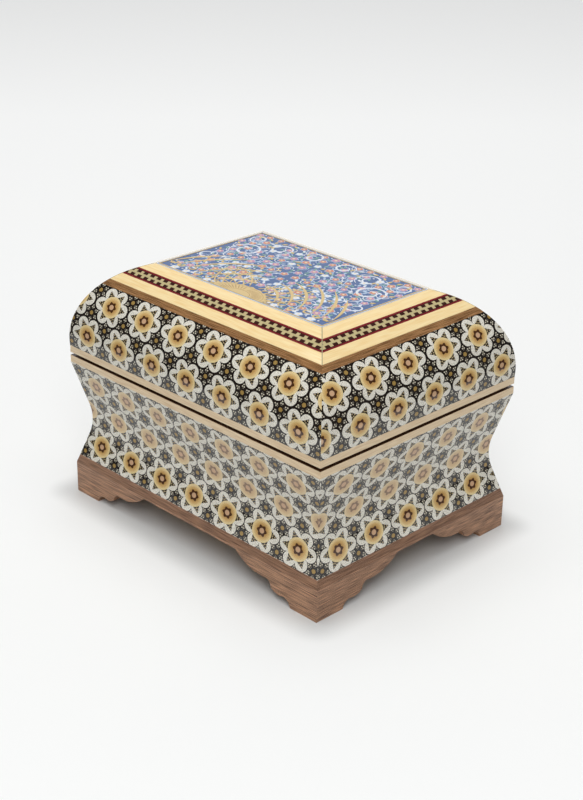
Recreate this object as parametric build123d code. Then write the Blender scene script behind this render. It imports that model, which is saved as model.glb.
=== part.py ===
from build123d import *
import math
import os

# An inlaid jewellery box: a mitred walnut plinth on bracket feet, a waisted body and a domed
# lid faced with mosaic veneer, borders round a painted panel, velvet linings, two brass hinges.
# Millimetres. +Z is up, the long front faces -Y, the hinges are at +Y, the floor is Z = 0.

os.makedirs("parts", exist_ok=True)

# Plan, measured at the rim where the lid meets the body
RIM_LENGTH = 180.0
RIM_WIDTH = 137.0
WALL = 13.0
VENEER = 1.6

# Plinth and bracket feet
PLINTH_HEIGHT = 21.5
PLINTH_BEVEL_HEIGHT = 4.4
PLINTH_INSET = 0.5
PLINTH_TOP_INSET = 1.9
PLINTH_THICKNESS = 9.0
APRON_HEIGHT = 16.0
FOOT_LENGTH = 55.0
FOOT_FLAT = 17.5
BOTTOM_THICKNESS = 4.0

# Body: straight flanks that meet at a rounded waist
BODY_TOP = 78.5
RIM_STRIP = 3.7
WAIST_HEIGHT = 42.5
WAIST_INSET = 8.3
WAIST_RADIUS = 32.0

# Lid: one arc from the rim strip up to the painted panel
DOME_RADIUS = 43.0
DOME_CENTRE_RISE = 3.7
LID_WALL_HEIGHT = 30.9
KHATAM_INSET = 12.4
WALNUT_BORDER = 2.8
OUTER_BORDER = 4.4
ZIGZAG_BAND = 5.9
INNER_BORDER = 6.2

# Velvet
LINING = 1.2
LINING_BELOW_RIM = 0.2
FLOOR_PAD = 3.0

# Hinges
HINGE_FROM_END = 38.0
HINGE_LENGTH = 22.0
LEAF_DEPTH = 10.0
LEAF_THICKNESS = 0.75
LEAF_GAP = 0.1
KNUCKLES = 5
KNUCKLE_RADIUS = 1.8
KNUCKLE_GAP = 0.15
BARREL_CLEARANCE = 0.3
PIN_RADIUS = 0.8
PIN_CLEARANCE = 0.05
PIN_CAP_RADIUS = 1.3
PIN_CAP = 0.5
SCREW_RADIUS = 0.9
SCREW_HEAD_RADIUS = 1.7
SCREW_HEAD = 0.7
SCREW_LENGTH = 6.0
SCREW_SPACING = 13.0
SLOT_WIDTH = 0.45
SLOT_DEPTH = 0.35

# Levels that follow
PLINTH_BEVEL_FOOT = PLINTH_HEIGHT - PLINTH_BEVEL_HEIGHT
BODY_STRIP_FOOT = BODY_TOP - RIM_STRIP
LID_GAP = 2 * LEAF_THICKNESS + LEAF_GAP
LID_FOOT = BODY_TOP + LID_GAP
LID_STRIP_TOP = LID_FOOT + RIM_STRIP
LID_CEILING = LID_FOOT + LID_WALL_HEIGHT
ZIGZAG_INSET = KHATAM_INSET + WALNUT_BORDER + OUTER_BORDER
PANEL_INSET = ZIGZAG_INSET + ZIGZAG_BAND + INNER_BORDER
CORE_RADIUS = DOME_RADIUS - VENEER
DOME_X = -math.sqrt(DOME_RADIUS**2 - DOME_CENTRE_RISE**2)
DOME_Z = LID_STRIP_TOP + DOME_CENTRE_RISE
DOME_BULGE = DOME_RADIUS + DOME_X
HINGE_Y = RIM_WIDTH / 2 + BARREL_CLEARANCE + KNUCKLE_RADIUS
HINGE_Z = BODY_TOP + LID_GAP / 2
# The barrels stand out at the back, so the box moves forward to keep the origin central.
CENTRE_Y = (DOME_BULGE - BARREL_CLEARANCE - 2 * KNUCKLE_RADIUS) / 2

# Tools reach this far past what they cut or are cut from.
MARGIN = 5.0
TURNS = {"front": 0, "right": 90, "back": 180, "left": 270}


def write(name, shape):
    """Writes one node at its place in the centred frame."""
    solids = [Pos(0, CENTRE_Y, 0) * solid for solid in shape.solids()]
    whole = solids[0] if len(solids) == 1 else Compound(children=solids)
    export_step(whole, f"parts/{name}.step")
    print(name, len(solids), round(sum(solid.volume for solid in solids)))


def reach(side):
    """Half the rim along a side, and from the centre out to it."""
    along, out = RIM_LENGTH / 2, RIM_WIDTH / 2
    return (along, out) if side in ("front", "back") else (out, along)


def outline(*edges):
    """A face inside edges given in any order."""
    return make_face(Wire.combine([e for edge in edges for e in edge.edges()])[0])


def mitred(side, section):
    """Runs a section, drawn as (out from the rim, height), along a side and mitres its ends."""
    along, out = reach(side)
    plane = Plane(origin=(0, -out, 0), x_dir=(0, -1, 0), z_dir=(-1, 0, 0))
    bar = extrude(plane * section, amount=along + MARGIN, both=True)
    depth = min(along, out) - MARGIN
    wedge = Polyline(
        (-along - MARGIN, -out - MARGIN),
        (along + MARGIN, -out - MARGIN),
        (along - depth, depth - out),
        (depth - along, depth - out),
        close=True,
    )
    cutter = Pos(0, 0, -MARGIN) * extrude(make_face(wedge), amount=DOME_Z + DOME_RADIUS + MARGIN)
    return Rot(0, 0, TURNS[side]) * (bar & cutter)


def rectangle(inner, outer, low, high):
    """A section between two distances out from the rim and two heights."""
    return Pos((inner + outer) / 2, (low + high) / 2) * Rectangle(outer - inner, high - low)


def block(inset, low, high):
    """A plate or block that stays this far inside the rim."""
    size = (RIM_LENGTH - 2 * inset, RIM_WIDTH - 2 * inset, high - low)
    return Pos(0, 0, (low + high) / 2) * Box(*size)


# Plinth


def foot_edges(end, sign):
    """One bracket foot's scrolled edge: two coves, each with a lobe, from the flat to the apron."""
    run = FOOT_LENGTH - FOOT_FLAT

    def at(along, up):
        return (sign * (end - FOOT_FLAT - along * run), up * APRON_HEIGHT)

    steps = [(0, 0), (0.15, 0.25), (0.35, 0.35), (0.48, 0.57), (1, 1)]
    bulges = [(0.04, 0.18), (0.26, 0.25), (0.38, 0.52), (0.80, 0.70)]
    return [
        ThreePointArc(at(*low), at(*bulge), at(*high))
        for low, bulge, high in zip(steps, bulges, steps[1:])
    ]


def plinth_board(side):
    """A mitred board with a bevelled top edge and two half feet."""
    along, out = reach(side)
    section = Polyline(
        (-PLINTH_INSET, 0),
        (-PLINTH_INSET, PLINTH_BEVEL_FOOT),
        (-PLINTH_TOP_INSET, PLINTH_HEIGHT),
        (-PLINTH_INSET - PLINTH_THICKNESS, PLINTH_HEIGHT),
        (-PLINTH_INSET - PLINTH_THICKNESS, 0),
        close=True,
    )
    end = along - PLINTH_INSET
    flat = end - FOOT_FLAT
    arch = outline(
        *foot_edges(end, 1),
        *foot_edges(end, -1),
        Line((FOOT_LENGTH - end, APRON_HEIGHT), (end - FOOT_LENGTH, APRON_HEIGHT)),
        Polyline((-flat, 0), (-flat, -MARGIN), (flat, -MARGIN), (flat, 0)),
    )
    plane = Plane(origin=(0, -out, 0), x_dir=(1, 0, 0), z_dir=(0, -1, 0))
    cut = extrude(plane * arch, amount=PLINTH_THICKNESS + MARGIN, both=True)
    return mitred(side, make_face(section)) - Rot(0, 0, TURNS[side]) * cut


def bottom_board():
    return block(PLINTH_INSET + PLINTH_THICKNESS, PLINTH_HEIGHT - BOTTOM_THICKNESS, PLINTH_HEIGHT)


# Body


def flank(inset):
    """The body's side from the rim strip to the plinth, this far under the finished face."""
    lean_up = math.atan2(WAIST_INSET, BODY_STRIP_FOOT - WAIST_HEIGHT)
    lean_down = math.atan2(WAIST_INSET - PLINTH_TOP_INSET, WAIST_HEIGHT - PLINTH_HEIGHT)
    top = -inset / math.cos(lean_up)
    foot = -PLINTH_TOP_INSET - inset / math.cos(lean_down)
    # The two straight runs meet where both give the same inset.
    rise_up, rise_down = math.tan(lean_up), math.tan(lean_down)
    knee_z = (foot - top + BODY_STRIP_FOOT * rise_up + PLINTH_HEIGHT * rise_down) / (
        rise_up + rise_down
    )
    knee = top - (BODY_STRIP_FOOT - knee_z) * rise_up
    ends = (top, BODY_STRIP_FOOT), (knee, knee_z), (foot, PLINTH_HEIGHT)
    return FilletPolyline(*ends, radius=WAIST_RADIUS + inset)


def body_khatam(side):
    outer, inner = flank(0), flank(VENEER)
    return mitred(side, outline(outer, inner, Line(outer @ 0, inner @ 0), Line(outer @ 1, inner @ 1)))


def body_wall(side):
    face = flank(VENEER)
    inside = Polyline(face @ 0, (-WALL, BODY_STRIP_FOOT), (-WALL, PLINTH_HEIGHT), face @ 1)
    return mitred(side, outline(face, inside))


def body_rim(side):
    return mitred(side, rectangle(-WALL, 0, BODY_STRIP_FOOT, BODY_TOP))


def body_lining():
    top = BODY_TOP - LINING_BELOW_RIM
    return block(WALL, PLINTH_HEIGHT, top) - block(WALL + LINING, PLINTH_HEIGHT, top)


def floor_pad():
    return block(WALL + LINING, PLINTH_HEIGHT, PLINTH_HEIGHT + FLOOR_PAD)


# Lid. An edge between two facings is a pair of angles, on the dome's face and on its core.


def level_edge(height):
    rise = height - DOME_Z
    return tuple(math.degrees(math.asin(rise / r)) for r in (DOME_RADIUS, CORE_RADIUS))


def square_edge(inset):
    angle = math.degrees(math.acos((-inset - DOME_X) / DOME_RADIUS))
    return angle, angle


def plumb_edge(inset):
    return tuple(math.degrees(math.acos((-inset - DOME_X) / r)) for r in (DOME_RADIUS, CORE_RADIUS))


def dome_arc(radius, low, high):
    return CenterArc((DOME_X, DOME_Z), radius, low, high - low)


def dome_strip(low, high):
    """A facing of the dome between two edges."""
    outer = dome_arc(DOME_RADIUS, low[0], high[0])
    inner = dome_arc(CORE_RADIUS, low[1], high[1])
    return outline(outer, inner, Line(outer @ 0, inner @ 0), Line(outer @ 1, inner @ 1))


def lid_wall(side):
    low, high = level_edge(LID_STRIP_TOP), level_edge(LID_CEILING)
    face = dome_arc(CORE_RADIUS, low[1], high[1])
    inside = Polyline(face @ 1, (-WALL, LID_CEILING), (-WALL, LID_STRIP_TOP), face @ 0)
    return mitred(side, outline(face, inside))


def lid_rim(side):
    return mitred(side, rectangle(-WALL, 0, LID_FOOT, LID_STRIP_TOP))


def arched_bar(side):
    """The top board's section across one way, run the other way."""
    along, out = reach(side)
    low, high = level_edge(LID_CEILING), plumb_edge(PANEL_INSET)
    near = Pos(out, 0) * dome_arc(CORE_RADIUS, low[1], high[1])
    far = mirror(near, about=Plane.YZ)
    section = outline(near, far, Line(near @ 0, far @ 0), Line(near @ 1, far @ 1))
    plane = Plane(origin=(0, 0, 0), x_dir=(0, -1, 0), z_dir=(-1, 0, 0))
    return Rot(0, 0, TURNS[side]) * extrude(plane * section, amount=along, both=True)


def painted_panel():
    top = DOME_Z + math.sqrt(DOME_RADIUS**2 - (PANEL_INSET + DOME_X) ** 2)
    seat = DOME_Z + math.sqrt(CORE_RADIUS**2 - (PANEL_INSET + DOME_X) ** 2)
    return block(PANEL_INSET, seat, top)


def lid_lining():
    """Four sides and a ceiling in one piece of velvet-covered card."""
    low = LID_FOOT + LINING_BELOW_RIM
    return block(WALL, low, LID_CEILING) - block(WALL + LINING, low, LID_CEILING - LINING)


# Hinges. Each is drawn about its pin, which runs along X through the origin.


def knuckle(index):
    pitch = HINGE_LENGTH / KNUCKLES
    place = Pos((index + 0.5) * pitch - HINGE_LENGTH / 2, 0, 0) * Rot(0, 90, 0)
    return place * Cylinder(KNUCKLE_RADIUS, pitch - KNUCKLE_GAP)


def leaf(first, up):
    """A leaf with every second knuckle: the body's below the pin, the lid's above it."""
    pitch = HINGE_LENGTH / KNUCKLES
    near = BARREL_CLEARANCE + KNUCKLE_RADIUS
    height = up * (LEAF_GAP + LEAF_THICKNESS) / 2
    plate = Pos(0, -near - LEAF_DEPTH / 2, height) * Box(HINGE_LENGTH, LEAF_DEPTH, LEAF_THICKNESS)
    for index in range(first, KNUCKLES, 2):
        along = (index + 0.5) * pitch - HINGE_LENGTH / 2
        web = Pos(along, -near / 2, height) * Box(pitch - KNUCKLE_GAP, near, LEAF_THICKNESS)
        plate += web + knuckle(index)
    bore = Rot(0, 90, 0) * Cylinder(PIN_RADIUS + PIN_CLEARANCE, HINGE_LENGTH + MARGIN)
    return plate - bore - Compound(children=leaf_screws(up))


def pin():
    """A pin with a cap outside each end knuckle."""
    shank = Rot(0, 90, 0) * Cylinder(PIN_RADIUS, HINGE_LENGTH)
    for end in (-1, 1):
        place = Pos(end * (HINGE_LENGTH + PIN_CAP) / 2, 0, 0) * Rot(0, 90, 0)
        shank += place * Cylinder(PIN_CAP_RADIUS, PIN_CAP)
    return shank


def screw():
    """A slotted countersunk screw, point down, with its head's face at Z = 0."""
    shank = Pos(0, 0, -SCREW_LENGTH / 2) * Cylinder(SCREW_RADIUS, SCREW_LENGTH)
    head = Pos(0, 0, -SCREW_HEAD / 2) * Cone(SCREW_RADIUS, SCREW_HEAD_RADIUS, SCREW_HEAD)
    return shank + head


def leaf_screws(up):
    """A leaf's screws, whole, with their heads flush in the leaf's inner face."""
    middle = -BARREL_CLEARANCE - KNUCKLE_RADIUS - LEAF_DEPTH / 2
    places = [Pos(x, middle, up * LEAF_GAP / 2) for x in (-SCREW_SPACING / 2, SCREW_SPACING / 2)]
    return [place * Rot(90 + up * 90, 0, 0) * screw() for place in places]


def hinge_places():
    from_middle = RIM_LENGTH / 2 - HINGE_FROM_END
    return [Pos(x, HINGE_Y, HINGE_Z) for x in (-from_middle, from_middle)]


def all_screws(up, slotted=True):
    """Every screw on the body's side or the lid's side of the hinges."""
    slot = Pos(0, -LEAF_DEPTH / 2 - BARREL_CLEARANCE - KNUCKLE_RADIUS, up * LEAF_GAP / 2) * Box(
        HINGE_LENGTH, SLOT_WIDTH, 2 * SLOT_DEPTH
    )
    placed = [(place, one) for place in hinge_places() for one in leaf_screws(up)]
    return [place * (one - slot if slotted else one) for place, one in placed]


def without_screws(shape, side, up):
    """Pilot holes, where the hinges are screwed to the back."""
    return shape - Compound(children=all_screws(up, slotted=False)) if side == "back" else shape


EDGES = [
    level_edge(LID_STRIP_TOP),
    square_edge(KHATAM_INSET),
    square_edge(KHATAM_INSET + WALNUT_BORDER),
    square_edge(ZIGZAG_INSET),
    square_edge(ZIGZAG_INSET + ZIGZAG_BAND),
    plumb_edge(PANEL_INSET),
]
FACINGS = ["lid_khatam", "walnut_border", "outer_border", "zigzag_band", "inner_border"]

for side in TURNS:
    write(f"plinth_{side}", plinth_board(side))
    write(f"body_wall_{side}", without_screws(body_wall(side), side, -1))
    write(f"body_khatam_{side}", body_khatam(side))
    write(f"body_rim_{side}", without_screws(body_rim(side), side, -1))
    write(f"lid_wall_{side}", without_screws(lid_wall(side), side, 1))
    write(f"lid_rim_{side}", without_screws(lid_rim(side), side, 1))
    for facing, low, high in zip(FACINGS, EDGES, EDGES[1:]):
        write(f"{facing}_{side}", mitred(side, dome_strip(low, high)))

write("bottom_board", bottom_board())
write("body_lining", body_lining())
write("floor_pad", floor_pad())
write("top_board", arched_bar("front") & arched_bar("right"))
write("painted_panel", painted_panel())
write("lid_lining", lid_lining())

for name, place in zip(("left", "right"), hinge_places()):
    write(f"hinge_{name}_body_leaf", place * leaf(0, -1))
    write(f"hinge_{name}_lid_leaf", place * leaf(1, 1))
    write(f"hinge_{name}_pin", place * pin())
write("body_hinge_screws", Compound(children=all_screws(-1)))
write("lid_hinge_screws", Compound(children=all_screws(1)))
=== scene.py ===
import math
import random

import bmesh
import bpy
from mathutils import Matrix, Vector


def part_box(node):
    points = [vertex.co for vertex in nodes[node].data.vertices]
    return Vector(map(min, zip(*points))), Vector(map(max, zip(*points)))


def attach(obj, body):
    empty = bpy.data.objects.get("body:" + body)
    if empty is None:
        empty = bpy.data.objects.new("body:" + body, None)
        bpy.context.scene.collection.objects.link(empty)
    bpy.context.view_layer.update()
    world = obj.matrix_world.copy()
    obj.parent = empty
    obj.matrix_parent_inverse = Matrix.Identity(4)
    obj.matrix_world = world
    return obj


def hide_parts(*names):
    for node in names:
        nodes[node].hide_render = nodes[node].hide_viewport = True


# %% [markdown]
# An inlaid jewellery box from a Persian inlay workshop. A walnut plinth carries a waisted body
# and a domed lid, both faced with khatam, a mosaic of hexagonal rosettes made of bone, ebony,
# brass and coloured wood. All of it lies under a thick clear lacquer, so most of the work here
# is in patterns that follow the box's surfaces and in one glossy coat that they share.
#
# The solids already have their true shapes, so this file dresses them. It models two things of
# its own: the velvet inside, which is padded, and the paint on the lid, which stands proud.

# %% Load the box
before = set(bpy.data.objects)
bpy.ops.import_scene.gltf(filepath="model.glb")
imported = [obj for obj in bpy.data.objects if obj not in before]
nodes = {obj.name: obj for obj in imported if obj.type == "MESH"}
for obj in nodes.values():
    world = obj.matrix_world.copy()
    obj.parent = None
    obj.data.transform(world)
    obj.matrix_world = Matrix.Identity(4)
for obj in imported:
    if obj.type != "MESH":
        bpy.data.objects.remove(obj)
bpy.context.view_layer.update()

MM = 0.001
# A noise gets its scale, detail, roughness and lacunarity in that order. This scale gives cells
# of 0.2 in the units of the place that it is asked about, and detail above the most acts as it.
NOISE_SCALE, MOST_DETAIL = 5.0, 15.0
SIDES = ("front", "right", "back", "left")
RUNS = {"front": "X", "back": "X", "right": "Y", "left": "Y"}

panel_low, panel_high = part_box("painted_panel")
centre_y = (panel_low.y + panel_high.y) / 2
print("middle of the box in Y, mm", round(centre_y / MM, 2))

# %% [markdown]
# Colours are written as sRGB hex values, the way a paint shop or an image editor gives them.
# Shaders want linear light, so one function turns every colour. A second small function adds a
# node with its settings and links, and a third reads a recipe of sums, one Math node per line,
# because a pattern is easier to read as sums than as a page of separate calls.


# %% Colours and nodes
def colour(code):
    parts = [int(code[i : i + 2], 16) / 255 for i in (1, 3, 5)]
    return tuple(c / 12.92 if c <= 0.04045 else ((c + 0.055) / 1.055) ** 2.4 for c in parts) + (1,)


def add(tree, kind, *values, **settings):
    """Adds a node, sets it up, sets or links its inputs in order, and returns its first output."""
    node = tree.nodes.new("ShaderNode" + kind)
    for name, value in settings.items():
        setattr(node, name, value)
    inputs = [socket for socket in node.inputs if socket.enabled]
    for socket, value in zip(inputs, values):
        if isinstance(value, bpy.types.NodeSocket):
            tree.links.new(value, socket)
        elif value is not None:
            socket.default_value = value
    return next(socket for socket in node.outputs if socket.enabled)


def work_out(tree, known, recipe):
    """Adds a Math node for each line of 'name = value OPERATION values' and keeps the results."""
    for line in recipe.strip().splitlines():
        name, _, first, operation, *rest = line.split()
        values = [known[word] if word in known else float(word) for word in (first, *rest)]
        known[name] = add(tree, "Math", *values, operation=operation)
    return known


def finish(name, **sockets):
    """A named material with one Principled shader, and its sockets set by name."""
    material = bpy.data.materials.new(name)
    material.use_nodes = True
    shader = material.node_tree.nodes["Principled BSDF"]
    for key, value in sockets.items():
        shader.inputs[key.replace("_", " ")].default_value = value
    return material, material.node_tree, shader


def dress(material, *names):
    """Gives a material to nodes, in place of the plain one that they came with."""
    for name in names:
        slots = nodes[name].data.materials
        slots.clear()
        slots.append(material)


# %% [markdown]
# Every inlaid surface is sanded flush and sprayed with many coats of clear polyester lacquer. To
# the eye that is a second, perfectly smooth surface over the wood: it mirrors the white table in
# the faces that lean down, which turns their blacks to grey. A coat layer on the shader does it.

# %% The lacquer
LACQUER = {
    "Roughness": 0.5,
    "Specular_IOR_Level": 0.0,
    "Coat_Weight": 1.0,
    "Coat_Roughness": 0.07,
    "Coat_IOR": 1.58,
}


# %% [markdown]
# A pattern needs a place on the surface in real millimetres: along the side, and up it. Along is
# X on the front and back and Y on the ends. Up follows the curve, so that rosettes stay round.
# On the dome it is the arc length about the arc's centre, and on the waisted body, which leans
# about fifteen degrees everywhere, it is the height over the cosine of that lean.

# %% Where a point lies on a side
rim_low, rim_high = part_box("lid_rim_front")
STRIP_TOP = rim_high.z / MM
HALF_LENGTH = rim_high.x / MM
HALF_WIDTH = (centre_y - rim_low.y) / MM
DOME_RADIUS = 43.0
DOME_RISE = 3.7
DOME_INSET = math.sqrt(DOME_RADIUS**2 - DOME_RISE**2)
DOME_START = math.asin(DOME_RISE / DOME_RADIUS)
BODY_STRETCH = 1.035


def place_on_side(tree, run):
    """Along the side, out from the box's middle, and height, all in millimetres."""
    point = add(tree, "TexCoord")
    point = point.node.outputs["Object"]
    moved = add(tree, "VectorMath", point, (0, -centre_y, 0), operation="ADD")
    scaled = add(tree, "VectorMath", moved, (1 / MM, 1 / MM, 1 / MM), operation="MULTIPLY")
    x, y, z = add(tree, "SeparateXYZ", scaled).node.outputs
    known = {"along": x if run == "X" else y, "across": y if run == "X" else x, "height": z}
    known["half"] = HALF_WIDTH if run == "X" else HALF_LENGTH
    return known


def up_the_dome(tree, known):
    """Arc length up the dome from the rim strip."""
    known.update(inset=DOME_INSET, centre=STRIP_TOP + DOME_RISE)
    known.update(start=DOME_START, radius=DOME_RADIUS)
    return work_out(
        tree,
        known,
        """
        out = across ABSOLUTE
        out = out SUBTRACT half
        out = out ADD inset
        rise = height SUBTRACT centre
        angle = rise ARCTAN2 out
        angle = angle ADD start
        up = angle MULTIPLY radius
        """,
    )


# %% [markdown]
# Khatam is made from rods of triangular section, glued in bundles and sliced like a loaf, so the
# picture is all triangles and six-fold stars. The shader builds it the same way. It finds the
# nearest rosette on a staggered lattice, folds the plane six times round that centre, and then
# asks a few plain questions of the folded point: in the disc, in a petal, in a petal's core?
# Between three rosettes lies a small brass star on ebony, and the smallest rods show as dots.

# %% The mosaic's recipe, in millimetres
ROSETTE = {
    "sixth": math.pi / 6,
    "disc": 6.5,
    "petal_middle": 7.9,
    "petal_round": 3.95,
    "petal_point": 0.0,
    "core_tip": 10.3,
    "core_slope": 0.55,
    "dot": 0.42,
}
FOLD = """
left = along WRAP half_pitch minus_half_pitch
low = up WRAP row minus_row
far_along = along ADD half_pitch
far_up = up ADD row
left_2 = far_along WRAP half_pitch minus_half_pitch
low_2 = far_up WRAP row minus_row
square = left MULTIPLY left
square = low MULTIPLY_ADD low square
square_2 = left_2 MULTIPLY left_2
square_2 = low_2 MULTIPLY_ADD low_2 square_2
nearer = square LESS_THAN square_2
change = left SUBTRACT left_2
x = nearer MULTIPLY_ADD change left_2
change = low SUBTRACT low_2
y = nearer MULTIPLY_ADD change low_2
reach = square MINIMUM square_2
reach = reach SQRT
angle = y ARCTAN2 x
turn = angle PINGPONG sixth
turn_cos = turn COSINE
turn_sin = turn SINE
fx = reach MULTIPLY turn_cos
fy = reach MULTIPLY turn_sin
"""
SHAPES = """
petal_x = fx SUBTRACT petal_middle
petal_y = fy ADD petal_point
petal_x = petal_x MULTIPLY petal_x
petal_y = petal_y MULTIPLY_ADD petal_y petal_x
petal_reach = petal_y SQRT
petal = petal_reach LESS_THAN petal_round
core = core_tip SUBTRACT fx
core = core MULTIPLY core_slope
core = core GREATER_THAN fy
core = core MULTIPLY petal
in_disc = reach LESS_THAN disc
disc_tone = reach DIVIDE disc
tooth = turn MULTIPLY 2.0
tooth = reach ADD tooth
toothed_ring = tooth LESS_THAN 3.5
centre_hexagon = reach LESS_THAN 1.5
"""
HOLES = """
side_x = x ABSOLUTE
side_y = y ABSOLUTE
hole_x = side_x SUBTRACT half_pitch
hole_y = side_y SUBTRACT hole_low
top_y = side_y SUBTRACT hole_high
hole_square = hole_x MULTIPLY hole_x
hole_square = hole_y MULTIPLY_ADD hole_y hole_square
top_square = side_x MULTIPLY side_x
top_square = top_y MULTIPLY_ADD top_y top_square
at_side = hole_square LESS_THAN top_square
change = hole_x SUBTRACT side_x
hole_x = at_side MULTIPLY_ADD change side_x
change = hole_y SUBTRACT top_y
hole_y = at_side MULTIPLY_ADD change top_y
hole_reach = hole_square MINIMUM top_square
hole_reach = hole_reach SQRT
hole_angle = hole_y ARCTAN2 hole_x
hole_turn = hole_angle ADD sixth
hole_turn = hole_turn PINGPONG sixth
turn_cos = hole_turn COSINE
turn_sin = hole_turn SINE
hx = hole_reach MULTIPLY turn_cos
hy = hole_reach MULTIPLY turn_sin
star_edge = hy MULTIPLY 1.9
star_edge = star_edge ADD hx
star = star_edge LESS_THAN 2.9
star_middle = hx LESS_THAN 1.15
"""
START = """
along = along SUBTRACT start_along
up = up SUBTRACT start_up
up = up MULTIPLY pressed
"""
DOT = """
dot_x = {x} SUBTRACT {0}
dot_y = {y} SUBTRACT {1}
dot_x = dot_x MULTIPLY dot_x
dot_y = dot_y MULTIPLY_ADD dot_y dot_x
dot_y = dot_y SQRT
dot_y = dot_y LESS_THAN dot
{name} = {name} MAXIMUM dot_y
"""
CORE_DOTS = ((7.3, 0.0), (7.6, 1.15), (8.9, 0.0))
GROUND_DOTS = ((2.3, 0.0), (3.4, 0.6), (4.6, 0.0))


def khatam(name, run, rises_up_dome, pitch, row, start_along, start_up, reflection_from=None):
    """Mosaic veneer with rosettes a pitch apart in rows that are staggered by half a pitch."""
    material, tree, shader = finish(name, **LACQUER)
    known = place_on_side(tree, run)
    if rises_up_dome:
        up_the_dome(tree, known)
    else:
        known["stretch"] = BODY_STRETCH
        work_out(tree, known, "up = height MULTIPLY stretch")
    even_row = pitch * math.sqrt(3) / 2
    known.update(ROSETTE, half_pitch=pitch / 2, minus_half_pitch=-pitch / 2)
    known.update(row=even_row, minus_row=-even_row, pressed=even_row / row)
    known.update(hole_low=even_row / 3, hole_high=even_row * 2 / 3)
    known.update(start_along=start_along, start_up=start_up, core_dots=0.0, ground_dots=0.0)
    begin = START
    for recipe in (begin, FOLD, SHAPES, HOLES):
        work_out(tree, known, recipe)
    for x, y in CORE_DOTS:
        work_out(tree, known, DOT.format(x, y, x="fx", y="fy", name="core_dots"))
    for x, y in GROUND_DOTS:
        work_out(tree, known, DOT.format(x, y, x="hx", y="hy", name="ground_dots"))
    work_out(tree, known, "core_dots = core_dots MULTIPLY core")

    # Bone and wood vary a little from rod to rod, and from one slice of the loaf to the next.
    place = add(tree, "CombineXYZ", known["along"], known["up"], 0.0)
    fleck = add(tree, "TexNoise", place, NOISE_SCALE, 1.5, 2.0, 0.7)
    slice_tone = add(tree, "TexNoise", place, NOISE_SCALE, 0.09, 1.0, 0.5)
    disc = tree.nodes.new("ShaderNodeValToRGB")
    tree.links.new(known["disc_tone"], disc.inputs[0])
    while len(disc.color_ramp.elements) < len(DISC_COLOURS):
        disc.color_ramp.elements.new(0.5)
    for element, (position, code) in zip(disc.color_ramp.elements, DISC_COLOURS):
        element.position, element.color = position, colour(code)
    spread = add(tree, "MapRange", fleck, 0.36, 0.54, 0.0, 1.0)
    bone = add(tree, "Mix", spread, colour("#8F8671"), colour("#FFFBEF"), data_type="RGBA")
    olive = add(tree, "Mix", slice_tone, colour("#6E4A2C"), colour("#C8A95A"), data_type="RGBA")
    wires = add(tree, "MapRange", fleck, 0.36, 0.6, 0.74, 1.14)
    gold = add(tree, "Mix", 1.0, disc.outputs[0], wires, data_type="RGBA", blend_type="MULTIPLY")
    ring = colour("#4A290F")
    # Painted reflection of the white floor: above a height the discs and rings turn paler.
    if reflection_from:
        painted_reflection = add(tree, "MapRange", known["height"], reflection_from, reflection_from + 8, 0.0, 0.42)
        gold = add(tree, "Mix", painted_reflection, gold, colour("#E6CDAE"), data_type="RGBA")
        ring = add(tree, "Mix", painted_reflection, ring, colour("#C7A27C"), data_type="RGBA")
    layers = [
        ("ground_dots", colour("#D6CFBB")),
        ("star", colour("#1C130B")),
        ("star_middle", olive),
        ("petal", bone),
        ("core", colour("#231B13")),
        ("core_dots", colour("#B7A57E")),
        ("in_disc", gold),
        ("toothed_ring", ring),
        ("centre_hexagon", colour("#D3AB86")),
    ]
    shown = colour("#1A1006")
    for share, over in layers:
        shown = add(tree, "Mix", known[share], shown, over, data_type="RGBA")
    shade = add(tree, "MapRange", slice_tone, 0.3, 0.7, 0.88, 1.08)
    shown = add(tree, "Mix", 1.0, shown, shade, data_type="RGBA", blend_type="MULTIPLY")
    tree.links.new(shown, shader.inputs["Base Color"])
    return material


# %% Khatam on the lid and the body
DISC_COLOURS = [
    (0.0, "#BC8D50"),
    (0.5, "#C99B5A"),
    (0.72, "#DDBA7A"),
    (0.88, "#EAD29B"),
]
LID_PITCH, LID_ROW, LID_UPPER_ROW = 25.2, 18.7, 27.9
BODY_PITCH, BODY_ROW, BODY_LOWER_ROW = 24.2, 18.0, 30.2 * BODY_STRETCH
STARTS = {"X": (LID_PITCH / 2, 0.0), "Y": (-5.3, -2.0)}
# The body's upper rows, above this height, get a painted reflection of the white floor in the lacquer, which
# turns their discs and rings paler.
FLOOR_REFLECTION_FROM = 36.0
for run, (lid_start, body_start) in STARTS.items():
    on_lid = khatam("khatam_lid_" + run, run, True, LID_PITCH, LID_ROW, lid_start, LID_UPPER_ROW)
    on_body = khatam(
        "khatam_body_" + run, run, False, BODY_PITCH, BODY_ROW, body_start, BODY_LOWER_ROW, FLOOR_REFLECTION_FROM
    )
    faced = [side for side in SIDES if RUNS[side] == run]
    dress(on_lid, *("lid_khatam_" + side for side in faced))
    dress(on_body, *("body_khatam_" + side for side in faced))
    print("khatam along", run, "on", faced)

# %% [markdown]
# Wood is thousands of long tubes side by side. Seen from the side it is streaks that run with
# the board, about a tenth of a millimetre wide and some millimetres long, over broader bands of
# the year's growth. Noise stretched along the board gives both. The plinth's walnut is only
# oiled, so it stays satin, while the pale strips and borders lie under the lacquer.


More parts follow.
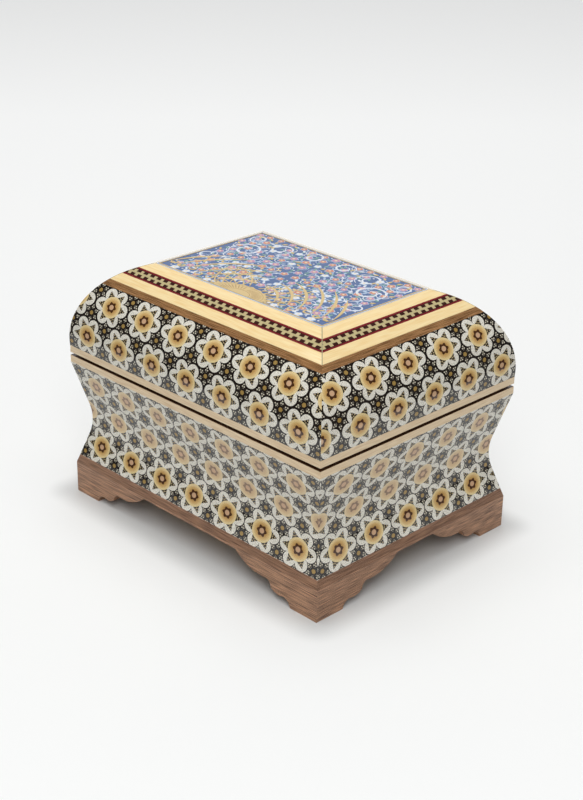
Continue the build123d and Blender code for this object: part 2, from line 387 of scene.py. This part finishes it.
# %% Wood
JOINT_MIDDLE = (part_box("body_rim_front")[1].z + rim_low.z) / 2 / MM
JOINT_REACH = (rim_low.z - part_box("body_rim_front")[1].z) / 2 / MM + 0.03
HALF_OTHER = {"X": HALF_LENGTH, "Y": HALF_WIDTH}
MITRE = {"mitre_width": 0.32}
# The first mask marks the faces inside the gap between lid and body. They get a dark brown that is partly a stain
# on the rim and partly painted shade of the narrow gap.
JOINT_AND_MITRE = """
in_joint = height COMPARE joint_middle joint_reach
to_side = across ABSOLUTE
to_side = half SUBTRACT to_side
to_end = along ABSOLUTE
to_end = other SUBTRACT to_end
on_mitre = to_side COMPARE to_end mitre_width
"""
def wood(name, run, light, dark, streak, sockets, streak_share=0.6, bump=0.0, mitre=None):
    """Wood whose grain runs along X or Y, with fine streaks to the given width in millimetres."""
    material, tree, shader = finish(name, **sockets)
    point = add(tree, "TexCoord").node.outputs["Object"]
    long = 1 / (30 * MM)
    fine = 1 / (streak * MM)
    broad = fine / 6
    textures = []
    for detail, size in ((4.0, fine), (2.0, broad)):
        scale = (long, size, size) if run == "X" else (size, long, size)
        stretched = add(tree, "VectorMath", point, scale, operation="MULTIPLY")
        textures.append(
            add(tree, "TexNoise", stretched, NOISE_SCALE, 1.0, detail, 0.6)
        )
    both = add(tree, "Mix", streak_share, textures[1], textures[0], data_type="FLOAT")
    spread = add(tree, "MapRange", both, 0.36, 0.64, 0.0, 1.0)
    shown = add(tree, "Mix", spread, colour(dark), colour(light), data_type="RGBA")
    known = place_on_side(tree, run)
    known.update(MITRE, joint_middle=JOINT_MIDDLE, joint_reach=JOINT_REACH, other=HALF_OTHER[run])
    work_out(tree, known, JOINT_AND_MITRE)
    known["on_bevel"] = 0.0
    # Painted shade on the plinth's bevel, a little under half way to dark brown.
    if name.startswith("walnut_plinth"):
        known["bevel_foot"] = BEVEL_FOOT
        work_out(tree, known, "on_bevel = height GREATER_THAN bevel_foot")
        work_out(tree, known, "on_bevel = on_bevel MULTIPLY 0.45")
    # Dark brown in the gap between lid and body: a stained rim with painted shade of the gap over it.
    for share, code in (("in_joint", "#54341F"), ("on_mitre", mitre), ("on_bevel", "#5E371A")):
        if code:
            shown = add(tree, "Mix", known[share], shown, colour(code), data_type="RGBA")
    tree.links.new(shown, shader.inputs["Base Color"])
    if bump:
        relief = add(tree, "Bump", bump, 0.0002, None, spread)
        tree.links.new(relief, shader.inputs["Normal"])
    return material


OILED = {"Roughness": 0.5, "Coat_Weight": 0.15, "Coat_Roughness": 0.3}
BARE = {"Roughness": 0.75}
# The plinth's bevel, above this height, gets painted shade: a darker brown than its face.
BEVEL_FOOT = 17.1
WOODS = {
    "walnut_plinth": ("#DEAA84", "#432516", 0.3, OILED, 0.72, 0.6),
    "walnut_border": ("#B98A5A", "#54341A", 0.3, LACQUER, 0.8, 0.0),
    "boxwood": ("#FFE8B4", "#F7D79A", 0.7, LACQUER, 0.5, 0.0, "#A89F7E"),
    "pale_strip": ("#F2DBB6", "#DBBC92", 0.5, LACQUER, 0.6, 0.0),
    "spruce_core": ("#CBA877", "#A07C50", 0.7, BARE, 0.5, 0.3),
}
made = {}
for kind, recipe in WOODS.items():
    for run in ("X", "Y"):
        made[kind, run] = wood(f"{kind}_{run}", run, *recipe)
WORN = {
    "plinth": "walnut_plinth",
    "walnut_border": "walnut_border",
    "outer_border": "boxwood",
    "inner_border": "boxwood",
    "lid_rim": "pale_strip",
    "body_rim": "pale_strip",
    "lid_wall": "spruce_core",
    "body_wall": "spruce_core",
}
for piece, kind in WORN.items():
    for side in SIDES:
        dress(made[kind, RUNS[side]], f"{piece}_{side}")
dress(made["spruce_core", "X"], "bottom_board", "top_board")
print(len(made), "wood finishes")

# %% [markdown]
# The band between the two pale borders is a running inlay sold by the metre: a stepped zigzag of
# light wood in dark wood, edged with a thin line of wood dyed dark red. Its step is 5 mm.

# %% The zigzag band
band_low, band_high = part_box("zigzag_band_front")
ZIGZAG_STEP = 5.0
BAND_WIDTH = 6.6
BAND = """
v = up SUBTRACT band_middle
level = v SIGN
slant = level MULTIPLY -1.25
bar = along ADD slant
bar = bar WRAP half_step minus_half_step
bar = bar ABSOLUTE
bar = bar LESS_THAN 1.02
side = v ABSOLUTE
joint = side LESS_THAN 0.55
inside = side LESS_THAN 2.0
bar = bar MULTIPLY inside
edge = side GREATER_THAN 2.4
"""


def zigzag(run):
    material, tree, shader = finish("zigzag_inlay_" + run, **LACQUER)
    known = up_the_dome(tree, place_on_side(tree, run))
    inset = (HALF_LENGTH - band_high.x / MM, centre_y / MM - HALF_WIDTH)
    outer = math.acos((DOME_INSET - inset[0]) / DOME_RADIUS) + DOME_START
    known.update(band_middle=outer * DOME_RADIUS + BAND_WIDTH / 2)
    known.update(half_step=ZIGZAG_STEP / 2, minus_half_step=-ZIGZAG_STEP / 2)
    work_out(tree, known, BAND)
    known.update(MITRE, joint_middle=JOINT_MIDDLE, joint_reach=JOINT_REACH, other=HALF_OTHER[run])
    work_out(tree, known, JOINT_AND_MITRE)
    shown = colour("#3A150B")
    inlays = ("joint", "#BDB283"), ("bar", "#C6B588"), ("edge", "#7A1622"), ("on_mitre", "#A89F7E")
    for share, code in inlays:
        shown = add(tree, "Mix", known[share], shown, colour(code), data_type="RGBA")
    tree.links.new(shown, shader.inputs["Base Color"])
    return material


for run in ("X", "Y"):
    inlay = zigzag(run)
    dress(inlay, *("zigzag_band_" + side for side in SIDES if RUNS[side] == run))
print("zigzag steps along the front", round(2 * band_high.x / MM / ZIGZAG_STEP))

# %% [markdown]
# The lining is cotton velvet glued over card. Its short upright pile is dark when looked into and
# bright at grazing angles, which is what a sheen layer gives. The pile itself is finer than a
# picture of the whole box shows, and the cells of both noises are larger than the box, so the
# red is nearly even.

# %% Velvet
velvet, tree, shader = finish(
    "cotton_velvet", Roughness=0.95, Sheen_Weight=0.8, Sheen_Roughness=0.35
)
shader.inputs["Sheen Tint"].default_value = colour("#E08A8A")
point = add(tree, "TexCoord").node.outputs["Object"]
pile = add(tree, "TexNoise", point, NOISE_SCALE, MOST_DETAIL, 4.0, 0.7)
nap = add(tree, "TexNoise", point, NOISE_SCALE, MOST_DETAIL, 2.0, 0.5)
both = add(tree, "Mix", 0.5, pile, nap, data_type="FLOAT")
spread = add(tree, "MapRange", both, 0.35, 0.65, 0.0, 1.0)
shown = add(tree, "Mix", spread, colour("#4A0A12"), colour("#7E1A24"), data_type="RGBA")
tree.links.new(shown, shader.inputs["Base Color"])
tree.links.new(add(tree, "Bump", 0.5, 0.0004, None, pile), shader.inputs["Normal"])

# %% [markdown]
# Inside, each wall, the floor and the lid's ceiling has its own piece of card with velvet pulled
# over it, so a panel is fullest in its middle and rounds away at its edges, and a soft valley
# shows where two panels meet. One function makes a panel as a grid over a flat back: its face
# rises quickly from the edge to its full thickness, and turns with the wall that it lines.

# %% Velvet panels
WALL_GRID = (33, 17)
EDGE_ROUND = 0.3
CARD = 0.3


def velvet_panel(name, centre, across, upward, half_width, half_height, thick, body):
    """A padded panel whose back lies at centre, spanned by two directions, all in metres."""
    outward = across.cross(upward)
    columns, rows = WALL_GRID
    mesh = bmesh.new()
    back, front = [], []
    for j in range(rows):
        v = math.sin(math.pi * (j / (rows - 1) - 0.5))
        for i in range(columns):
            u = math.sin(math.pi * (i / (columns - 1) - 0.5))
            flat = centre + across * (u * half_width) + upward * (v * half_height)
            inner = min(1 - abs(u), (1 - abs(v)) * half_height / half_width)
            rise = min(1.0, inner * half_width / (6 * MM))
            full = CARD + (1 - CARD) * math.sqrt(1 - (1 - rise) ** 2)
            back.append(mesh.verts.new(flat))
            front.append(mesh.verts.new(flat + outward * (thick * full)))
    for j in range(rows - 1):
        for i in range(columns - 1):
            a, b = j * columns + i, (j + 1) * columns + i
            mesh.faces.new((front[a], front[a + 1], front[b + 1], front[b]))
            mesh.faces.new((back[a], back[b], back[b + 1], back[a + 1]))
    low, high = range(columns), [(rows - 1) * columns + i for i in range(columns)]
    left, right = ([j * columns + end for j in range(rows)] for end in (0, columns - 1))
    for line, turned_round in ((low, False), (high, True), (left, True), (right, False)):
        for a, b in zip(line, list(line)[1:]):
            face = (back[a], back[b], front[b], front[a])
            mesh.faces.new(face[::-1] if turned_round else face)
    bmesh.ops.recalc_face_normals(mesh, faces=mesh.faces)
    data = bpy.data.meshes.new(name)
    mesh.to_mesh(data)
    mesh.free()
    data.shade_smooth()
    data.materials.append(velvet)
    panel = bpy.data.objects.new(name, data)
    bpy.context.scene.collection.objects.link(panel)
    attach(panel, body)
    return panel


def line_walls(node, body):
    """Four wall panels in the space of a lining, each between its neighbours' faces."""
    low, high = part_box(node)
    middle = (low + high) / 2
    size = high - low
    up = Vector((0, 0, 1))
    pieces = []
    for side, (x, y) in {"front": (0, -1), "right": (1, 0), "back": (0, 1), "left": (-1, 0)}.items():
        out = Vector((x, y, 0))
        along = up.cross(out)
        reach = size.x / 2 if x else size.y / 2
        half_width = size.y / 2 - LINING if x else size.x / 2
        place = middle + out * reach
        pieces.append(
            velvet_panel(
                f"{node}_{side}", place, -along, up, half_width, size.z / 2, LINING, body
            )
        )
    return pieces


LINING = (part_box("floor_pad")[0].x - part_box("body_lining")[0].x)
print("lining, mm", round(LINING / MM, 2))
body_panels = line_walls("body_lining", "box_body")
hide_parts("body_lining")

low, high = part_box("floor_pad")
middle, size = (low + high) / 2, high - low
floor_panel = velvet_panel(
    "velvet_floor",
    Vector((middle.x, middle.y, low.z)),
    Vector((1, 0, 0)),
    Vector((0, 1, 0)),
    size.x / 2,
    size.y / 2,
    size.z,
    "box_body",
)
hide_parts("floor_pad")

# %% The lid's lining
low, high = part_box("lid_lining")
middle, size = (low + high) / 2, high - low
ceiling = velvet_panel(
    "velvet_ceiling",
    Vector((middle.x, middle.y, high.z)),
    Vector((-1, 0, 0)),
    Vector((0, 1, 0)),
    size.x / 2,
    size.y / 2,
    LINING,
    "lid",
)
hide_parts("lid_lining")
up = Vector((0, 0, 1))
for side, (x, y) in {"front": (0, -1), "right": (1, 0), "back": (0, 1), "left": (-1, 0)}.items():
    out = Vector((x, y, 0))
    place = middle + out * (size.x / 2 if x else size.y / 2) - up * (LINING / 2)
    half_width = size.y / 2 - LINING if x else size.x / 2
    velvet_panel(
        "lid_lining_" + side, place, -up.cross(out), up, half_width, (size.z - LINING) / 2, LINING, "lid"
    )

# %% [markdown]
# The hinges are small butt hinges of stamped brass with slotted countersunk screws.

# %% Brass
brass, tree, shader = finish("tumbled_brass", Metallic=1.0, Base_Color=colour("#D9B464"))
point = add(tree, "TexCoord").node.outputs["Object"]
haze = add(tree, "TexNoise", point, NOISE_SCALE, MOST_DETAIL, 5.0, 0.6)
rough = add(tree, "MapRange", haze, 0.3, 0.7, 0.22, 0.32)
tree.links.new(rough, shader.inputs["Roughness"])
fittings = [f"hinge_{hand}_{part}" for hand in ("left", "right") for part in ("body_leaf", "lid_leaf", "pin")]
dress(brass, *fittings, "body_hinge_screws", "lid_hinge_screws")

# %% [markdown]
# The lid's top is a painted panel in the manner of an illuminated page: gold vines and white
# scrolls over cobalt blue, strewn with small flowers, and the same on the left as on the right.
# The colours are gouache and shell gold, which stand a few hundredths of a millimetre proud under
# the lacquer. Each colour is one piece here, made of closed flat shapes that follow formulas:
# spirals for the vines, a wave round a circle for petals and for the gold half medallion.

# %% The painted ground
PANEL_X = (panel_high.x - panel_low.x) / 2 / MM
PANEL_Y = (panel_high.y - panel_low.y) / 2 / MM
PANEL_TOP = panel_high.z / MM


def paint(name, light, dark):
    """Gouache under lacquer, whose tone drifts slowly over the panel."""
    material, tree, shader = finish(name, **LACQUER)
    point = add(tree, "TexCoord").node.outputs["Object"]
    brush = add(tree, "TexNoise", point, NOISE_SCALE, MOST_DETAIL, 3.0, 0.6)
    spread = add(tree, "MapRange", brush, 0.35, 0.65, 0.0, 1.0)
    shown = add(tree, "Mix", spread, colour(dark), colour(light), data_type="RGBA")
    tree.links.new(shown, shader.inputs["Base Color"])
    return material


dress(paint("cobalt_ground", "#3A74A6", "#262A7A"), "painted_panel")

# %% The painter's colours and tools
COLOURS = {
    "gold": ("#E6CB8C", "#CBAA68", 0.16),
    "pale_blue": ("#C3D6E8", "#8FAFD6", 0.04),
    "bronze": ("#C9A765", "#A98750", 0.18),
    "green": ("#86B5A8", "#4C8478", 0.06),
    "coral": ("#DB8F74", "#BF6E60", 0.08),
    "pink": ("#D79DB4", "#AE6C96", 0.10),
    "white": ("#F2F3F6", "#CFDAEC", 0.12),
    "cream": ("#F6E9C4", "#E6CE93", 0.14),
}
SUNK = 0.02
LAYERS = 31
LAYER = 0.0006
painted = {name: bmesh.new() for name in COLOURS}
laid = {name: 0 for name in COLOURS}


def two_levels(name, points):
    """Vertices just under the panel's face and at the paint's own height."""
    # Touches of one colour that overlap differ a little in height, as wet brush marks do.
    laid[name] += 1
    top = COLOURS[name][2] + LAYER * (laid[name] % LAYERS)
    levels = (PANEL_TOP - SUNK, PANEL_TOP + top)
    return ([painted[name].verts.new((x, y, z)) for x, y in points] for z in levels)


def lay_down(name, edge):
    """A thin closed shape inside an edge, in panel millimetres."""
    low, high = two_levels(name, edge)
    painted[name].faces.new(low[::-1])
    painted[name].faces.new(high)
    for i, vertex in enumerate(low):
        painted[name].faces.new((low[i - 1], vertex, high[i], high[i - 1]))


def on_both_sides(name, edge):
    """The same shape left and right, or once where it lies on the middle line."""
    lay_down(name, edge)
    if abs(sum(x for x, y in edge)) > 0.01:
        lay_down(name, [(-x, y) for x, y in reversed(edge)])


def stroke(name, path, width, tip=0.25):
    """A brush stroke along a path, full in the middle and fine at both ends."""
    left, right = [], []
    for i, (x, y) in enumerate(path):
        ahead, behind = path[min(i + 1, len(path) - 1)], path[max(i - 1, 0)]
        along = Vector((ahead[0] - behind[0], ahead[1] - behind[1])).normalized()
        half = width / 2 * (tip + (1 - tip) * math.sin(math.pi * i / (len(path) - 1)))
        left.append((x - along.y * half, y + along.x * half))
        right.append((x + along.y * half, y - along.x * half))
    for flip in (1, -1):
        ribbon(name, [(flip * x, y) for x, y in left], [(flip * x, y) for x, y in right])


def ribbon(name, left, right):
    """A thin closed solid between two lines of points."""
    low, high = two_levels(name, left + right)
    last, count = len(left) - 1, len(left)
    for i in range(last):
        for level in (low, high):
            painted[name].faces.new((level[i], level[i + 1], level[count + i + 1], level[count + i]))
        for side in (0, count):
            a, b = side + i, side + i + 1
            painted[name].faces.new((low[a], low[b], high[b], high[a]))
    for i in (0, last):
        painted[name].faces.new((low[i], high[i], high[count + i], low[count + i]))


def spiral(x, y, start, end, first, last, steps=36):
    """Points round a centre from one radius and angle, in degrees, to another."""
    points = []
    for i in range(steps + 1):
        share = i / steps
        radius = start + (end - start) * share
        turn = math.radians(first + (last - first) * share)
        points.append((x + radius * math.cos(turn), y + radius * math.sin(turn)))
    return points


def wave_round(x, y, radius, petals, depth, start=90.0, steps=20):
    """The edge of a flower: a wave round a circle, with one crest for each petal."""
    edge = []
    for i in range(steps):
        turn = math.tau * i / steps
        reach = radius * (1 - depth + depth * math.cos(petals * turn))
        turn += math.radians(start)
        edge.append((x + reach * math.cos(turn), y + reach * math.sin(turn)))
    return edge


# %% Half medallion, vines and scrolls
MEDALLION = (18.0, 11.0)
MEDALLION_SCALLOPS = 9


def medallion_edge(name, grow):
    """A half oval at the front edge with small scallops."""
    edge = []
    for i in range(73):
        turn = math.pi * i / 72
        scallop = 1 - 0.07 * abs(math.cos(MEDALLION_SCALLOPS * turn)) + grow
        x = MEDALLION[0] * scallop * math.cos(turn)
        edge.append((x, MEDALLION[1] * scallop * math.sin(turn) - PANEL_Y + 1.2))
    lay_down(name, edge)


medallion_edge("gold", 0.0)
for share in (0.86, 0.42):
    arc = [(math.cos(math.pi * i / 48), math.sin(math.pi * i / 48)) for i in range(25)]
    x, y = MEDALLION[0] * share, MEDALLION[1] * share
    stroke("bronze", [(x * a, y * b - PANEL_Y + 1.2) for a, b in arc], 0.35, 1.0)
for i in range(1, 10):
    turn = math.pi / 2 * i / 10
    x, y = MEDALLION[0] * math.cos(turn), MEDALLION[1] * math.sin(turn)
    stroke("bronze", [(x * t, y * t - PANEL_Y + 1.2) for t in (0.46, 0.55, 0.65, 0.75, 0.82)], 0.7, 0.2)
for reach, first, last in ((19, 84, 12), (26, 80, 14), (33, 76, 10), (41, 66, 12), (48, 52, 9), (54, 38, 9)):
    stroke("gold", spiral(0, -PANEL_Y, reach, reach + 2.5, first, last), 1.5, 0.1)
    tip = math.radians(last)
    x, y = (reach + 2.5) * math.cos(tip), (reach + 2.5) * math.sin(tip) - PANEL_Y
    stroke("gold", spiral(x - 2.6, y, 2.6, 0.9, 0, -300, 14), 1.0, 0.4)
for first in range(8, 90, 14):
    for last in (first + 62, first - 62):
        arm = [
            ((15 + 46 * t) * math.cos(turn), (13 + 48 * t) * math.sin(turn) - PANEL_Y)
            for t, turn in ((i / 30, math.radians(first + (last - first) * i / 30)) for i in range(31))
        ]
        inside = [(x, y) for x, y in arm if 0.4 < x < PANEL_X - 2.5 and -PANEL_Y + 2 < y < PANEL_Y - 3]
        if len(inside) > 6:
            stroke("gold", inside[: len(inside) // 2 + 1], 0.65, 0.8)
            stroke("pale_blue", inside[len(inside) // 2 :], 0.65, 0.8)
SCROLLS = (
    (43.0, 11.0, 9.5, 2.6, -60, 480, 1.3),
    (31.0, 24.0, 7.5, 2.2, 250, -250, 1.2),
    (50.0, 27.0, 6.0, 1.8, 200, 650, 1.0),
    (11.0, 27.5, 6.5, 1.8, -20, 470, 1.1),
    (52.0, -8.0, 5.5, 1.8, 90, 560, 0.9),
)
for x, y, start, end, first, last, width in SCROLLS:
    stroke("white", spiral(x, y, start, end, first, last), width)
print(sum(len(mesh.faces) for mesh in painted.values()), "faces of vine")

# %% Flowers, leaves and dots
FLOWER_STEP = (7.9, 6.6)
FLOWER_RADIUS = 2.15
hand = random.Random(7)


def clear_of_medallion(x, y, gap):
    return (x / (MEDALLION[0] + gap)) ** 2 + ((y + PANEL_Y) / (MEDALLION[1] + gap)) ** 2 > 1


def leaf(x, y, turn, length):
    tip = Vector((math.cos(turn), math.sin(turn))) * length
    path = [(x + tip.x * (0.8 + i / 6), y + tip.y * (0.8 + i / 6)) for i in range(7)]
    if not all(0.4 < x < PANEL_X - 2.4 and abs(y) < PANEL_Y - 2.4 for x, y in path):
        return
    stroke(hand.choice(("green", "pale_blue", "green", "gold", "white")), path, 1.4, 0.15)


for row in range(11):
    y = -PANEL_Y + 3.6 + row * FLOWER_STEP[1]
    for column in range(8):
        x = (column + 0.5 * (row % 2)) * FLOWER_STEP[0]
        shift = (hand.uniform(-0.9, 0.9) if x else 0.0, hand.uniform(-0.7, 0.7))
        at = (x + shift[0], y + shift[1])
        kind = hand.choice(("coral", "pink", "pink", "coral", "white"))
        size = FLOWER_RADIUS * hand.uniform(0.85, 1.15)
        if at[0] > PANEL_X - 3.2 or at[1] > PANEL_Y - 3.2 or not clear_of_medallion(*at, 2.6):
            continue
        on_both_sides("pale_blue", wave_round(*at, size * 1.24, 5, 0.13))
        on_both_sides(kind, wave_round(*at, size, 5, 0.13))
        on_both_sides("cream", wave_round(*at, size * 0.36, 5, 0.1, steps=8))
        first = hand.uniform(0, math.tau)
        if x and hand.random() < 0.6:
            tendril = spiral(*at, 3.9, 3.1, math.degrees(first), math.degrees(first) + 230, 18)
            if all(0.4 < x < PANEL_X - 2 and abs(y) < PANEL_Y - 2 for x, y in tendril):
                stroke(hand.choice(("white", "pale_blue")), tendril, 0.5, 0.4)
        for side_turn in (first, first + 1.9, first + 4.1):
            if x:
                leaf(*at, side_turn, 3.0)
        dot = (at[0] + FLOWER_STEP[0] / 2, at[1] + 1.0)
        if dot[0] < PANEL_X - 3 and abs(dot[1]) < PANEL_Y - 3:
            on_both_sides("white", wave_round(*dot, 0.6, 3, 0.1, steps=6))
for name, inset, width in (("gold", 1.3, 0.6), ("white", 0.35, 0.5)):
    x, y = PANEL_X - inset, PANEL_Y - inset
    for a, b in (((0, -y), (x, -y)), ((x, -y), (x, y)), ((x, y), (0, y))):
        stroke(name, [(a[0] + (b[0] - a[0]) * i / 6, a[1] + (b[1] - a[1]) * i / 6) for i in range(7)], width, 1.0)

# %% One piece for each colour
for name, (light, dark, height) in COLOURS.items():
    bmesh.ops.scale(painted[name], vec=(MM, MM, MM), verts=painted[name].verts)
    bmesh.ops.translate(painted[name], vec=(0, centre_y, 0), verts=painted[name].verts)
    bmesh.ops.recalc_face_normals(painted[name], faces=painted[name].faces)
    mesh = bpy.data.meshes.new("paint_" + name)
    painted[name].to_mesh(mesh)
    painted[name].free()
    piece = bpy.data.objects.new("paint_" + name, mesh)
    bpy.context.scene.collection.objects.link(piece)
    mesh.materials.append(paint(name + "_paint", light, dark))
    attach(piece, "lid")
    print(piece.name, len(mesh.polygons), "faces")

# %% [markdown]
# The box was photographed on a white sweep under a large soft light overhead. The floor is
# a white board that glows for camera, glossy and transmission rays, more further back, and
# whose glow fades out close to the box, which paints a shadow round its foot. The world gives
# a dim even fill, and one big lamp above gives the shape.

# %% Floor, light and camera
TABLE_HALF_WIDTH, TABLE_BEHIND, TABLE_BEFORE = (0.34, 0.53), 2.6, 1.2
GLOW_NEAR, GLOW_FAR = 0.25, 0.15
FROM_THE_BOX = """
beside = along ABSOLUTE
beside = beside SUBTRACT half_length
beside = beside MAXIMUM 0
before = across ABSOLUTE
before = before SUBTRACT half
before = before MAXIMUM 0
away = beside MULTIPLY beside
away = before MULTIPLY_ADD before away
away = away SQRT
"""
AZIMUTH, ELEVATION, ROLL = 44.94, 24.55, 1.04
turned = Matrix.Rotation(math.radians(AZIMUTH), 3, "Z")
mesh = bpy.data.meshes.new("floor")
corners = [
    turned @ Vector((x, y, 0))
    for x, y in (
        (-TABLE_HALF_WIDTH[0], -TABLE_BEFORE),
        (TABLE_HALF_WIDTH[0], -TABLE_BEFORE),
        (TABLE_HALF_WIDTH[1], TABLE_BEHIND),
        (-TABLE_HALF_WIDTH[1], TABLE_BEHIND),
    )
]
mesh.from_pydata(corners, [], [(0, 1, 2, 3)])
floor = bpy.data.objects.new("floor", mesh)
bpy.context.scene.collection.objects.link(floor)
sweep, tree, shader = finish("white_sweep", Roughness=0.9, Base_Color=colour("#D8D9D8"))
place = add(tree, "TexCoord").node.outputs["Object"]
backward = turned @ Vector((0, 1, 0))
behind = add(tree, "VectorMath", place, backward, operation="DOT_PRODUCT").node.outputs["Value"]
far_glow = add(tree, "MapRange", behind, 0.0, 0.8, 0.0, GLOW_FAR)
known = place_on_side(tree, "X")
known["half_length"] = HALF_LENGTH
work_out(tree, known, FROM_THE_BOX)
# The floor's glow fades to nothing at the box's foot, which paints a shadow round the box.
glow_fading_to_painted_shadow = add(tree, "MapRange", known["away"], 0.0, 18.0, 0.0, GLOW_NEAR, interpolation_type="SMOOTHSTEP")
floor_glow = add(tree, "Math", glow_fading_to_painted_shadow, far_glow, operation="ADD")
path = add(tree, "LightPath").node
seen = add(tree, "Math", path.outputs["Is Camera Ray"], path.outputs["Is Glossy Ray"], operation="MAXIMUM")
seen = add(tree, "Math", seen, path.outputs["Is Transmission Ray"], operation="MAXIMUM")
glow = add(tree, "Math", seen, floor_glow, operation="MULTIPLY")
tree.links.new(glow, shader.inputs["Emission Strength"])
shader.inputs["Emission Color"].default_value = (1, 1, 1, 1)
mesh.materials.append(sweep)

ROOM, ZENITH, BACKDROP = 0.16, 0.7, 0.62
world = bpy.data.worlds.new("studio")
bpy.context.scene.world = world
world.use_nodes = True
tree = world.node_tree
heading = add(tree, "TexCoord").node.outputs["Generated"]
height = add(tree, "SeparateXYZ", heading).node.outputs["Z"]
glow = add(tree, "MapRange", height, 0.8, 1.0, ROOM, ZENITH)
backward = turned @ Vector((0, 1, 0))
facing = add(tree, "VectorMath", heading, backward, operation="DOT_PRODUCT").node.outputs["Value"]
behind = add(tree, "MapRange", facing, 0.6, 0.85, 0.0, BACKDROP)
glow = add(tree, "Math", glow, behind, operation="ADD")
seen = add(tree, "LightPath").node.outputs["Is Camera Ray"]
glow = add(tree, "Mix", seen, glow, 0.93, data_type="FLOAT")
tree.links.new(glow, tree.nodes["Background"].inputs["Strength"])
tree.nodes["Background"].inputs["Color"].default_value = colour("#F8F9FA")


def soft_light(name, size, place, aim, watts):
    lamp = bpy.data.lights.new(name, "AREA")
    lamp.shape, lamp.size, lamp.energy = "SQUARE", size, watts
    holder = bpy.data.objects.new(name, lamp)
    holder.location = place
    holder.rotation_euler = (Vector(aim) - Vector(place)).to_track_quat("-Z", "Y").to_euler()
    bpy.context.scene.collection.objects.link(holder)


soft_light("overhead", 1.6, (-0.05, -0.1, 1.5), (0, 0, 0), 13.8)
soft_light("beside_camera", 1.0, (1.1, -1.1, 1.3), (0, 0, 0.05), 16)

DISTANCE = 0.7988
LENS = 70.1
AIM = Vector((0, centre_y, 0.05))
AIM_RIGHT, AIM_UP = 3.63 * MM, 10.71 * MM
azimuth, elevation, roll = (math.radians(angle) for angle in (AZIMUTH, ELEVATION, ROLL))
back = Vector(
    (
        math.sin(azimuth) * math.cos(elevation),
        -math.cos(azimuth) * math.cos(elevation),
        math.sin(elevation),
    )
)
level = Vector((math.cos(azimuth), math.sin(azimuth), 0))
upright = back.cross(level)
right = level * math.cos(roll) + upright * math.sin(roll)
above = upright * math.cos(roll) - level * math.sin(roll)
lens = bpy.data.cameras.new("camera")
lens.lens, lens.sensor_width = LENS, 36.0
lens.shift_x, lens.shift_y = -3.09 / 800, 0.25 / 800
camera = bpy.data.objects.new("camera", lens)
camera.matrix_world = Matrix((right, above, back)).transposed().to_4x4()
camera.location = AIM + right * AIM_RIGHT + above * AIM_UP + back * DISTANCE
bpy.context.scene.collection.objects.link(camera)
bpy.context.scene.camera = camera
bpy.context.scene.view_settings.view_transform = "Standard"
